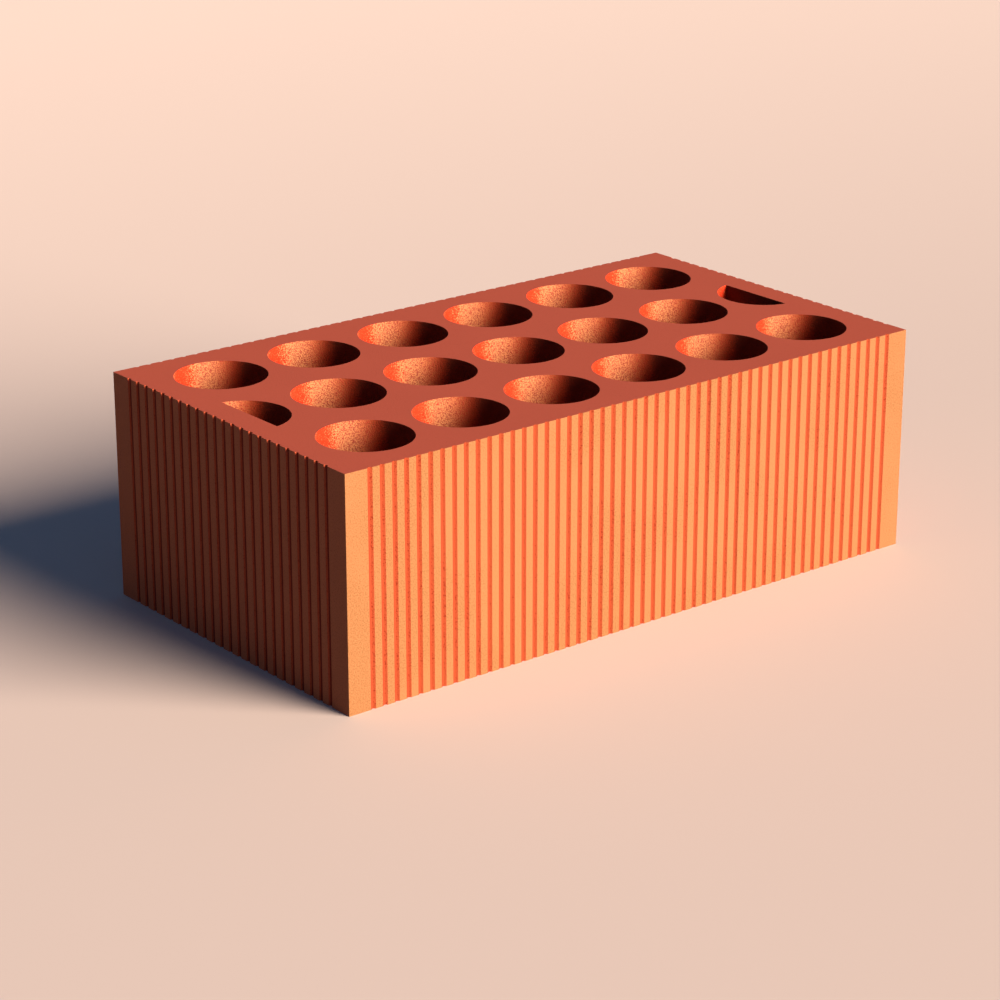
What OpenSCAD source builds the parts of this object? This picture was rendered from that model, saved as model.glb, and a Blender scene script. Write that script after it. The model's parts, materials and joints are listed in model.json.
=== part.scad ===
// Perforated clay brick: a column of clay pushed through a die, cut across by wires and fired.
// The die makes the combed sides and the holes that run from bed to bed; the wires make the
// two flat beds. The origin is the centre of the lower bed, with +X along the brick, +Y across
// it and +Z up.

/* [Brick] */
// Length, along X
brick_length = 230; // [150:1:400]
// Width, along Y
brick_width = 125; // [100:1:200]
// Height from bed to bed, along Z
brick_height = 76; // [30:1:200]

/* [Holes] */
// Diameter of each round hole
hole_d = 30; // [14:0.5:38]
// Least clay between two holes of one row
web = 6; // [3:0.5:20]
// Clay between the outer rows and the long sides
side_wall = 9; // [5:0.5:20]
// Clay between the outer rows and the ends
end_wall = 10; // [5:0.5:30]
// Clay between the flat of each part hole and its end
flat_wall = 9.5; // [5:0.5:30]

/* [Combing] */
// Width of one groove at the face
groove_width = 1.8; // [1:0.1:3.5]
// Depth of one groove
groove_depth = 0.55; // [0.3:0.05:3]
// Width of a side groove at its floor
side_groove_floor = 0.3; // [0.1:0.1:3.5]
// Width of an end groove at its floor
end_groove_floor = 1.3; // [0.1:0.1:3.5]
// Distance between grooves on the two long sides
side_groove_pitch = 4.42; // [4:0.01:12]
// Distance between grooves on the two ends
end_groove_pitch = 4.82; // [4:0.01:12]
// Least plain clay between a corner and the first groove
corner_land = 7.5; // [3:0.5:20]

/* [Hidden] */
$fn = 96;
// clearance for cuts that run past a face
past = 1;
// added before rounding a count down, so that a whole number stays whole
count_slack = 0.001;

hole_r = hole_d / 2;
// The outer rows start and end one end wall in; what lies between is shared out evenly.
row_span = brick_length - 2 * end_wall - hole_d;
row_count = floor(row_span / (hole_d + web) + count_slack) + 1;
hole_pitch = row_span / (row_count - 1);
outer_row_y = brick_width / 2 - side_wall - hole_r;
// The middle row is set half a pitch over, so it ends in a part hole at each end.
part_hole_x = row_count / 2 * hole_pitch;
flat_x = brick_length / 2 - flat_wall;

// How many grooves of one pitch a face of this length takes between its corner lands
function groove_count(face_length, pitch) =
    floor((face_length - 2 * corner_land - groove_width) / pitch + count_slack) + 1;

// Places of count things, one pitch apart and centred on zero
function centred(count, pitch) = [for (i = [0:count - 1]) (i - (count - 1) / 2) * pitch];

// One groove, narrower at its floor, cut into a face that lies along X, seen from above
module groove(floor_width) {
    polygon([
        [-floor_width / 2, -groove_depth],
        [floor_width / 2, -groove_depth],
        [groove_width / 2, 0],
        [groove_width / 2, past],
        [-groove_width / 2, past],
        [-groove_width / 2, 0]
    ]);
}

// The comb of one face
module comb(face_length, pitch, floor_width) {
    for (x = centred(groove_count(face_length, pitch), pitch))
        translate([x, 0]) groove(floor_width);
}

// The outline of the clay column as it leaves the die, with its four combed faces
module column_outline() {
    difference() {
        square([brick_length, brick_width], center = true);
        for (turn = [0, 180]) {
            rotate(turn)
                translate([0, brick_width / 2])
                    comb(brick_length, side_groove_pitch, side_groove_floor);
            rotate(turn + 90)
                translate([0, brick_length / 2])
                    comb(brick_width, end_groove_pitch, end_groove_floor);
        }
    }
}

// One round hole from bed to bed
module hole() {
    translate([0, 0, -past]) cylinder(h = brick_height + 2 * past, d = hole_d);
}

// The part hole at the +X end: a round hole that stops at a flat
module part_hole() {
    intersection() {
        translate([part_hole_x, 0, 0]) hole();
        translate([0, -brick_width / 2, -2 * past])
            cube([flat_x, brick_width, brick_height + 4 * past]);
    }
}

module brick() {
    color("indianred")
    difference() {
        linear_extrude(brick_height) column_outline();
        for (x = centred(row_count, hole_pitch), y = [-outer_row_y, outer_row_y])
            translate([x, y, 0]) hole();
        for (x = centred(row_count - 1, hole_pitch))
            translate([x, 0, 0]) hole();
        for (turn = [0, 180])
            rotate(turn) part_hole();
    }
}

brick();
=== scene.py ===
"""Looks of a perforated clay brick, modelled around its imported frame."""
import json
import math

import bpy
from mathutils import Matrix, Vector


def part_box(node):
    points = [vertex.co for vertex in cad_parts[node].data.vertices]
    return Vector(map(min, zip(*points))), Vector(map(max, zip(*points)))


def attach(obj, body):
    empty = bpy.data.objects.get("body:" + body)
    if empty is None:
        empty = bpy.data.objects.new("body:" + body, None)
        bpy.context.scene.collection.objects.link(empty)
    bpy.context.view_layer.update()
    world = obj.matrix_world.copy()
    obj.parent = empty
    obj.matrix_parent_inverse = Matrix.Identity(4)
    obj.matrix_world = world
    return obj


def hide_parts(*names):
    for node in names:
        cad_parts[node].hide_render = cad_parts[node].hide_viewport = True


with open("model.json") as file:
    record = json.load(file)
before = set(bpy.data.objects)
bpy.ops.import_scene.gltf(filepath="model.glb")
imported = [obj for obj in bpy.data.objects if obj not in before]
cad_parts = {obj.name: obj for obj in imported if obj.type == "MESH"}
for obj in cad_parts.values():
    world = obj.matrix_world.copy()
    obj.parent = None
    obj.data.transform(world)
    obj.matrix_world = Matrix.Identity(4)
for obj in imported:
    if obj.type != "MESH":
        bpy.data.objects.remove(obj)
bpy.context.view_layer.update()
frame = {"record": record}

MM = 0.001


# ---------------------------------------------------------------- sizes, from the frame

low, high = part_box("brick")
LENGTH, WIDTH, HEIGHT = high - low
MIDDLE = (low + high) / 2

bores = [m for m in frame["record"]["mounts"] if m["kind"] == "bore"]
HOLE_RADIUS = bores[0]["dims"]["r_mm"] * MM
ROW_Y = max(m["pos_m"][1] for m in bores)
OUTER_ROW_X = sorted({m["pos_m"][0] for m in bores})
HOLE_PITCH = OUTER_ROW_X[1] - OUTER_ROW_X[0]
MIDDLE_ROW_X = [x + HOLE_PITCH / 2 for x in OUTER_ROW_X[:-1]]
PART_HOLE_X = OUTER_ROW_X[-1] + HOLE_PITCH / 2

# What the record doesn't carry: the clay outside each part hole's flat, and the combing
FLAT_WALL = 9.5 * MM
GROOVE_WIDTH = 1.8 * MM
GROOVE_DEPTH = 0.55 * MM
SIDE_GROOVE_FLOOR = 0.3 * MM
END_GROOVE_FLOOR = 1.3 * MM
SIDE_GROOVE_PITCH = 4.42 * MM
END_GROOVE_PITCH = 4.82 * MM
CORNER_LAND = 7.5 * MM

HOLE_SIDES = 72
# How far a worn edge falls back on each of its faces
ARRIS = 0.2 * MM
# Edges that turn more than this are worn, and faces that turn less than this are shaded as one
WORN_ANGLE = math.radians(40)
SMOOTH_ANGLE = math.radians(28)
# How far a cutter runs past the face it cuts
PAST = 4 * MM
# Added before rounding a count down, so that a whole number stays whole
COUNT_SLACK = 0.001

# Where the painted light lies round each hole, as an angle from +X toward +Y: the wall there faces the
# key light
PAINTED_LIGHT_AZIMUTH = 118
# Size of the soft clouds in the clay's colour, in mm
PATCH = 35
# How softly a speck's edge ends, as a share of the noise that makes the specks
SPECK_EDGE = 0.1


# ---------------------------------------------------------------- hand tools

def pick_nothing():
    bpy.ops.object.select_all(action="DESELECT")


def keep_place(piece):
    """Moves a piece's place, turn and scale into its mesh."""
    pick_nothing()
    piece.select_set(True)
    bpy.context.view_layer.objects.active = piece
    bpy.ops.object.transform_apply(location=True, rotation=True, scale=True)


def finish_modifier(piece, kind, **settings):
    """Adds one modifier with its settings and applies it."""
    pick_nothing()
    piece.select_set(True)
    bpy.context.view_layer.objects.active = piece
    modifier = piece.modifiers.new(kind.lower(), kind)
    for name, value in settings.items():
        setattr(modifier, name, value)
    bpy.ops.object.modifier_apply(modifier=modifier.name)


def pick_faces(piece, wanted):
    """In edit mode, selects just the faces that wanted(face) says."""
    bpy.ops.object.mode_set(mode="OBJECT")
    mesh = piece.data
    chosen = [wanted(face) for face in mesh.polygons]
    bpy.ops.object.mode_set(mode="EDIT")
    bpy.ops.mesh.select_mode(type="FACE")
    bpy.ops.mesh.select_all(action="DESELECT")
    bpy.ops.object.mode_set(mode="OBJECT")
    mesh.polygons.foreach_set("select", chosen)
    bpy.ops.object.mode_set(mode="EDIT")


def cut_away(piece, cutter):
    """Takes a cutter out of a piece; the cut faces keep the cutter's material."""
    finish_modifier(piece, "BOOLEAN", operation="DIFFERENCE", solver="EXACT", object=cutter,
                    material_mode="TRANSFER")
    bpy.data.objects.remove(cutter)


# ---------------------------------------------------------------- the brick

def groove_count(face_length, pitch):
    """How many grooves of one pitch a face takes between its two corner lands."""
    return math.floor((face_length - 2 * CORNER_LAND - GROOVE_WIDTH) / pitch + COUNT_SLACK) + 1


def comb_cutter(face_length, face_distance, pitch, floor_width, turn, finish):
    """The teeth of the die that comb one face, as one mesh of parallel tapered bars."""
    count = groove_count(face_length, pitch)
    first = -(count - 1) / 2 * pitch
    pick_nothing()
    bpy.ops.mesh.primitive_cube_add(
        size=1,
        location=(first, face_distance - GROOVE_DEPTH / 2, MIDDLE.z),
        scale=(GROOVE_WIDTH, GROOVE_DEPTH, HEIGHT + 2 * PAST))
    teeth = bpy.context.object
    keep_place(teeth)
    bpy.ops.object.mode_set(mode="EDIT")
    pick_faces(teeth, lambda face: face.normal.y < -0.9)
    bpy.ops.transform.resize(value=(floor_width / GROOVE_WIDTH, 1, 1))
    pick_faces(teeth, lambda face: face.normal.y > 0.9)
    bpy.ops.mesh.extrude_region_move(TRANSFORM_OT_translate={"value": (0, PAST, 0)})
    bpy.ops.object.mode_set(mode="OBJECT")
    teeth.data.materials.append(finish)
    finish_modifier(teeth, "ARRAY", count=count, use_relative_offset=False,
                    use_constant_offset=True, constant_offset_displace=(pitch, 0, 0))
    teeth.rotation_euler.z = turn
    keep_place(teeth)
    return teeth


def core_cutter(x, y, finish, flat_x=None):
    """One core rod of the die; with flat_x it stops at a flat, on the side of the brick's end."""
    pick_nothing()
    bpy.ops.mesh.primitive_cylinder_add(
        vertices=HOLE_SIDES, radius=HOLE_RADIUS, depth=HEIGHT + 2 * PAST,
        location=(x, y, MIDDLE.z))
    rod = bpy.context.object
    keep_place(rod)
    if flat_x is not None:
        bpy.ops.object.mode_set(mode="EDIT")
        bpy.ops.mesh.select_all(action="SELECT")
        bpy.ops.mesh.bisect(plane_co=(flat_x, 0, 0), plane_no=(1, 0, 0), use_fill=True,
                            clear_outer=flat_x > 0, clear_inner=flat_x < 0)
        bpy.ops.object.mode_set(mode="OBJECT")
    rod.data.materials.append(finish)
    return rod


def join(pieces):
    """Makes several pieces one mesh."""
    pick_nothing()
    for piece in pieces:
        piece.select_set(True)
    bpy.context.view_layer.objects.active = pieces[0]
    bpy.ops.object.join()
    return pieces[0]


def make_brick():
    """The column of clay with its combed faces and its holes, each face in its own finish."""
    pick_nothing()
    bpy.ops.mesh.primitive_cube_add(size=1, location=MIDDLE, scale=(LENGTH, WIDTH, HEIGHT))
    brick = bpy.context.object
    brick.name = "fired_brick"
    brick.data.name = "fired_brick"
    keep_place(brick)
    brick.data.materials.append(wire_cut_bed())
    bpy.ops.object.mode_set(mode="EDIT")
    for axis, finish in ((1, sanded_side()), (0, sanded_end())):
        brick.data.materials.append(finish)
        pick_faces(brick, lambda face: abs(face.normal[axis]) > 0.5)
        brick.active_material_index = len(brick.data.materials) - 1
        bpy.ops.object.material_slot_assign()
    bpy.ops.object.mode_set(mode="OBJECT")

    for turn in (0, math.pi):
        cut_away(brick, comb_cutter(LENGTH, WIDTH / 2, SIDE_GROOVE_PITCH, SIDE_GROOVE_FLOOR,
                                    turn, combed_groove()))
        cut_away(brick, comb_cutter(WIDTH, LENGTH / 2, END_GROOVE_PITCH, END_GROOVE_FLOOR,
                                    turn + math.pi / 2, combed_end_groove()))
    core = cored_wall()
    rods = [core_cutter(x, y, core) for x in OUTER_ROW_X for y in (-ROW_Y, ROW_Y)]
    rods += [core_cutter(x, MIDDLE.y, core) for x in MIDDLE_ROW_X]
    flat_x = LENGTH / 2 - FLAT_WALL
    rods += [core_cutter(side * PART_HOLE_X, MIDDLE.y, core, side * flat_x)
             for side in (-1, 1)]
    cut_away(brick, join(rods))

    finish_modifier(brick, "BEVEL", width=ARRIS, segments=1, offset_type="ABSOLUTE",
                    limit_method="ANGLE", angle_limit=WORN_ANGLE)
    bpy.ops.object.shade_smooth_by_angle(angle=SMOOTH_ANGLE)
    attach(brick, "root")
    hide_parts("brick")


# ---------------------------------------------------------------- finishes

def linear(hex_code):
    """An sRGB hex colour as linear red, green, blue and alpha."""
    parts = [int(hex_code[i:i + 2], 16) / 255 for i in (1, 3, 5)]
    return [p / 12.92 if p <= 0.04045 else ((p + 0.055) / 1.055) ** 2.4 for p in parts] + [1]


def add(tree, kind, sockets=None, **settings):
    """Adds a shader node.

    The settings are its own properties; the sockets take values or other nodes' outputs.
    """
    made = tree.nodes.new(kind)
    for name, value in settings.items():
        setattr(made, name, value)
    for name, value in (sockets or {}).items():
        if isinstance(value, bpy.types.NodeSocket):
            tree.links.new(value, made.inputs[name])
        else:
            made.inputs[name].default_value = value
    return made


def start_material(name):
    """A new material, with its tree, its shader and the object's own coordinates."""
    material = bpy.data.materials.new(name)
    material.use_nodes = True
    tree = material.node_tree
    shader = tree.nodes["Principled BSDF"]
    shader.inputs["IOR"].default_value = 1.5
    shader.inputs["Specular IOR Level"].default_value = 0.2
    place = add(tree, "ShaderNodeTexCoord").outputs["Object"]
    return material, tree, shader, place


def clay(name, body, cloud, speck, grain, speck_from, relief, rough, smooth_part=0.0):
    """Fired clay: a body colour that drifts in soft clouds, with specks of sand or grog.

    The specks are grain mm across and the grit stands relief mm high. The higher speck_from, the
    fewer the specks. With a smooth part, they thin out in patches by that much. Returns the
    material, its tree, its shader, the colour so far, the grit and the bump, so that a finish can
    go on from there.
    """
    material, tree, shader, place = start_material(name)
    drift = add(tree, "ShaderNodeTexNoise",
                {"Vector": place, "Scale": 1 / (PATCH * MM), "Detail": 3})
    clouded = add(tree, "ShaderNodeMix",
                  {0: drift.outputs["Fac"], 6: linear(body), 7: linear(cloud)}, data_type="RGBA")
    grit = add(tree, "ShaderNodeTexNoise",
               {"Vector": place, "Scale": 1 / (grain * MM), "Detail": 2, "Roughness": 0.7})
    worn = add(tree, "ShaderNodeMapRange",
               {0: drift.outputs["Fac"], 1: 0.42, 2: 0.58, 3: 0, 4: smooth_part})
    standing = add(tree, "ShaderNodeMath", {0: grit.outputs["Fac"], 1: worn.outputs[0]},
                   operation="SUBTRACT")
    amount = add(tree, "ShaderNodeMapRange",
                 {0: standing.outputs[0], 1: speck_from, 2: speck_from + SPECK_EDGE, 3: 0, 4: 1})
    specked = add(tree, "ShaderNodeMix",
                  {0: amount.outputs[0], 6: clouded.outputs[2], 7: linear(speck)},
                  data_type="RGBA")
    tree.links.new(specked.outputs[2], shader.inputs["Base Color"])
    shader.inputs["Roughness"].default_value = rough
    bump = add(tree, "ShaderNodeBump",
               {"Height": grit.outputs["Fac"], "Distance": relief * MM, "Strength": 1})
    tree.links.new(bump.outputs[0], shader.inputs["Normal"])
    return material, tree, shader, specked.outputs[2], grit.outputs["Fac"], bump


def wire_cut_bed():
    """Clay cut green by a wire and fired: smooth, matte and brick red."""
    return clay("wire_cut_clay", body="#a55443", cloud="#9f5141", speck="#985040",
                grain=0.6, speck_from=0.6, relief=0.05, rough=0.85)[0]


def sanded_side():
    """Clay smoothed by the die and dusted with sand: bright orange, with olive grains in patches."""
    return clay("sanded_side_clay", body="#9e754d", cloud="#9b714b", speck="#8a663f",
                grain=0.5, speck_from=0.465, relief=0.2, rough=0.8, smooth_part=0.1)[0]


def sanded_end():
    """The same smoothed clay on the ends, plainer, as a redder and brighter copy: a painted hue, set
    for the end in shade.
    """
    # Painted shade hue: a copy of the side clay, redder and brighter, tuned for the shaded end
    return clay("end_clay_painted_shade_hue", body="#c27856", cloud="#be7452", speck="#b0684a",
                grain=0.5, speck_from=0.52, relief=0.1, rough=0.8)[0]


def facing(tree, direction):
    """How far the surface faces one way: 1 straight toward it, 0 square to it and -1 straight away."""
    surface = add(tree, "ShaderNodeNewGeometry")
    return add(tree, "ShaderNodeVectorMath", {0: surface.outputs["Normal"], 1: direction},
               operation="DOT_PRODUCT").outputs["Value"]


def blend_in(tree, amount, start, full, most, colour, tint):
    """Mixes a tint into a colour, up to most, as an amount goes from start to full."""
    part = add(tree, "ShaderNodeMapRange", {0: amount, 1: start, 2: full, 3: 0, 4: most})
    return add(tree, "ShaderNodeMix", {0: part.outputs[0], 6: colour, 7: linear(tint)},
               data_type="RGBA").outputs[2]


def combed_groove():
    """Clay laid open by the teeth of the die, with no sand on it: a deeper, redder orange.

    The flank of each groove that faces +X, toward the key light, is painted redder and darker: painted
    shade.
    """
    material, tree, shader, colour, *_ = clay(
        "combed_clay_painted_shade", body="#b45936", cloud="#b05534", speck="#8a3018",
        grain=0.5, speck_from=0.54, relief=0.15, rough=0.8, smooth_part=0.08)
    # Painted shade: the more a groove face turns to +X, toward the key light, the deeper and darker
    # its red
    colour = blend_in(tree, facing(tree, (1, 0, 0)), start=-0.5, full=0.4, most=1,
                      colour=colour, tint="#933b20")
    tree.links.new(colour, shader.inputs["Base Color"])
    return material


def combed_end_groove():
    """The same open clay on the ends as a brighter copy, set for the end in shade; painted shade
    darkens the groove floors and steep flanks.
    """
    material, tree, shader, colour, *_ = clay(
        "combed_end_clay_painted_shade", body="#d06848", cloud="#cc6444", speck="#b8543a",
        grain=0.5, speck_from=0.55, relief=0.15, rough=0.8)
    # Painted shade in the end grooves: the straighter a groove face looks out of the end, the darker
    outward = add(tree, "ShaderNodeMath", {0: facing(tree, (1, 0, 0))}, operation="ABSOLUTE")
    colour = blend_in(tree, outward.outputs[0], start=0.6, full=0.95, most=1,
                      colour=colour, tint="#7c2c1c")
    tree.links.new(colour, shader.inputs["Base Color"])
    return material


def cored_wall():
    """Clay dragged along a core rod: coarse and open, with sandy grains that stand out.

    The side of each hole that faces the key light has painted light, a smooth red, and from there the
    wall goes through a painted ruddy-brown half-shade to the far side, which is painted dark shade.
    """
    material, tree, shader, colour, grit, bump = clay(
        "cored_clay_painted_light", body="#cb9164", cloud="#c58b5e", speck="#9a4b3c",
        grain=0.4, speck_from=0.47, relief=0.3, rough=0.85)
    # Painted light and shade round each hole, set by how far the wall faces the key light
    key_light_side = math.radians(PAINTED_LIGHT_AZIMUTH)
    facing_key_light = facing(tree, (-math.cos(key_light_side), -math.sin(key_light_side), 0))
    # The grit makes the edge of each tone ragged
    ragged = add(tree, "ShaderNodeMath", {0: grit, 1: 0.5, 2: facing_key_light},
                 operation="MULTIPLY_ADD").outputs[0]
    for start, full, most, tint in (
            (0.88, 0.41, 0.9, "#bc421c"),   # painted half-shade, ruddy brown
            (0.76, 0.22, 0.86, "#200c06"),  # painted shade, near black
            (1.12, 1.2, 1, "#c83416")):     # painted light, smooth red
        colour = blend_in(tree, ragged, start, full, most, colour, tint)
    tree.links.new(colour, shader.inputs["Base Color"])
    gritty = add(tree, "ShaderNodeMapRange", {0: facing_key_light, 1: 0.96, 2: 0.86, 3: 0.1, 4: 1})
    tree.links.new(gritty.outputs[0], bump.inputs["Strength"])
    return material


def pale_paper():
    """Matte studio paper, plain and pale; it throws back less light than so pale a paper would."""
    material, tree, shader, _ = start_material("studio_paper")
    ray = add(tree, "ShaderNodeLightPath")
    paper = add(tree, "ShaderNodeMix",
                {0: ray.outputs["Is Diffuse Ray"], 6: linear("#cacccb"), 7: linear("#6c6c6c")},
                data_type="RGBA")
    tree.links.new(paper.outputs[2], shader.inputs["Base Color"])
    shader.inputs["Roughness"].default_value = 0.9
    return material


# ---------------------------------------------------------------- floor, lights and camera

def make_floor():
    """A wide sweep of paper: flat under the brick, and rising gently behind it.

    It reaches half metres each way. From start metres behind the middle it curves up, in strips,
    until its slope is slope_limit, and goes on straight.
    """
    half, start, rise, slope_limit, strips = 12, 0.045, 0.1, 0.14, 14
    pick_nothing()
    bpy.ops.mesh.primitive_plane_add(
        size=1, location=(MIDDLE.x, MIDDLE.y + (start - half) / 2, low.z))
    floor = bpy.context.object
    floor.scale = (2 * half, half + start, 1)
    floor.name = "floor"
    keep_place(floor)
    bpy.ops.object.mode_set(mode="EDIT")
    bpy.ops.mesh.select_mode(type="EDGE")
    bpy.ops.mesh.select_all(action="DESELECT")
    bpy.ops.object.mode_set(mode="OBJECT")
    back = max(v.co.y for v in floor.data.vertices)
    for edge in floor.data.edges:
        edge.select = all(floor.data.vertices[v].co.y > back - MM for v in edge.vertices)
    bpy.ops.object.mode_set(mode="EDIT")
    curved = slope_limit / (2 * rise)
    for strip in range(strips):
        out = curved / strips
        up = rise * out * out * (2 * strip + 1)
        bpy.ops.mesh.extrude_edges_move(TRANSFORM_OT_translate={"value": (0, out, up)})
    straight = half - curved
    bpy.ops.mesh.extrude_edges_move(
        TRANSFORM_OT_translate={"value": (0, straight, straight * slope_limit)})
    bpy.ops.object.mode_set(mode="OBJECT")
    bpy.ops.object.shade_smooth()
    floor.data.materials.append(pale_paper())


def toward(azimuth, elevation):
    """Direction from the brick for an azimuth from the front, turning to +X, and an elevation."""
    a, e = math.radians(azimuth), math.radians(elevation)
    return Vector((math.sin(a) * math.cos(e), -math.cos(a) * math.cos(e), math.sin(e)))


def add_sun(name, azimuth, elevation, spread, colour, strength):
    """A distant light that comes from one side and is spread degrees across."""
    light = bpy.data.lights.new(name, "SUN")
    light.energy = strength
    light.color = colour
    light.angle = math.radians(spread)
    lamp = bpy.data.objects.new(name, light)
    lamp.rotation_euler = toward(azimuth, elevation).to_track_quat("Z", "Y").to_euler()
    bpy.context.scene.collection.objects.link(lamp)


def light_studio():
    """A warm, low and broad key light, a trace of light from behind, and a dim air all round."""
    add_sun("key", 25, 20.5, 42, (1, 0.675, 0.51), 11.6)
    add_sun("back_fill", 165, 3, 20, (1, 0.8, 0.7), 0.15)
    world = bpy.data.worlds.new("studio")
    bpy.context.scene.world = world
    world.use_nodes = True
    tree = world.node_tree
    sky = add(tree, "ShaderNodeSeparateXYZ",
              {0: add(tree, "ShaderNodeTexCoord").outputs["Generated"]})
    up = add(tree, "ShaderNodeMapRange", {0: sky.outputs["Z"], 1: 0, 2: 0.5, 3: 0, 4: 1})
    warm_horizon, blue_zenith = (0.2, 0.1, 0.08, 1), (0.04, 0.07, 0.13, 1)
    glow = add(tree, "ShaderNodeMix", {0: up.outputs[0], 6: warm_horizon, 7: blue_zenith},
               data_type="RGBA")
    ray = add(tree, "ShaderNodeLightPath")
    air = add(tree, "ShaderNodeMix",
              {0: ray.outputs["Is Camera Ray"], 6: glow.outputs[2], 7: linear("#f3d5c2")},
              data_type="RGBA")
    tree.links.new(air.outputs[2], tree.nodes["Background"].inputs["Color"])
    bpy.context.scene.view_settings.view_transform = "Standard"


def place_camera():
    """A long lens at the front left, aimed a little left of and below the brick's middle."""
    aim = MIDDLE + Vector((-0.0338 * LENGTH, 0, -0.157 * HEIGHT))
    distance = 4.25 * LENGTH
    camera = bpy.data.objects.new("camera", bpy.data.cameras.new("camera"))
    camera.data.sensor_width = 36
    camera.data.lens = 107
    back = toward(-38.76, 19.95)
    camera.location = aim + back * distance
    camera.rotation_euler = back.to_track_quat("Z", "Y").to_euler()
    bpy.context.scene.collection.objects.link(camera)
    bpy.context.scene.camera = camera


place_camera()
make_brick()
make_floor()
light_studio()
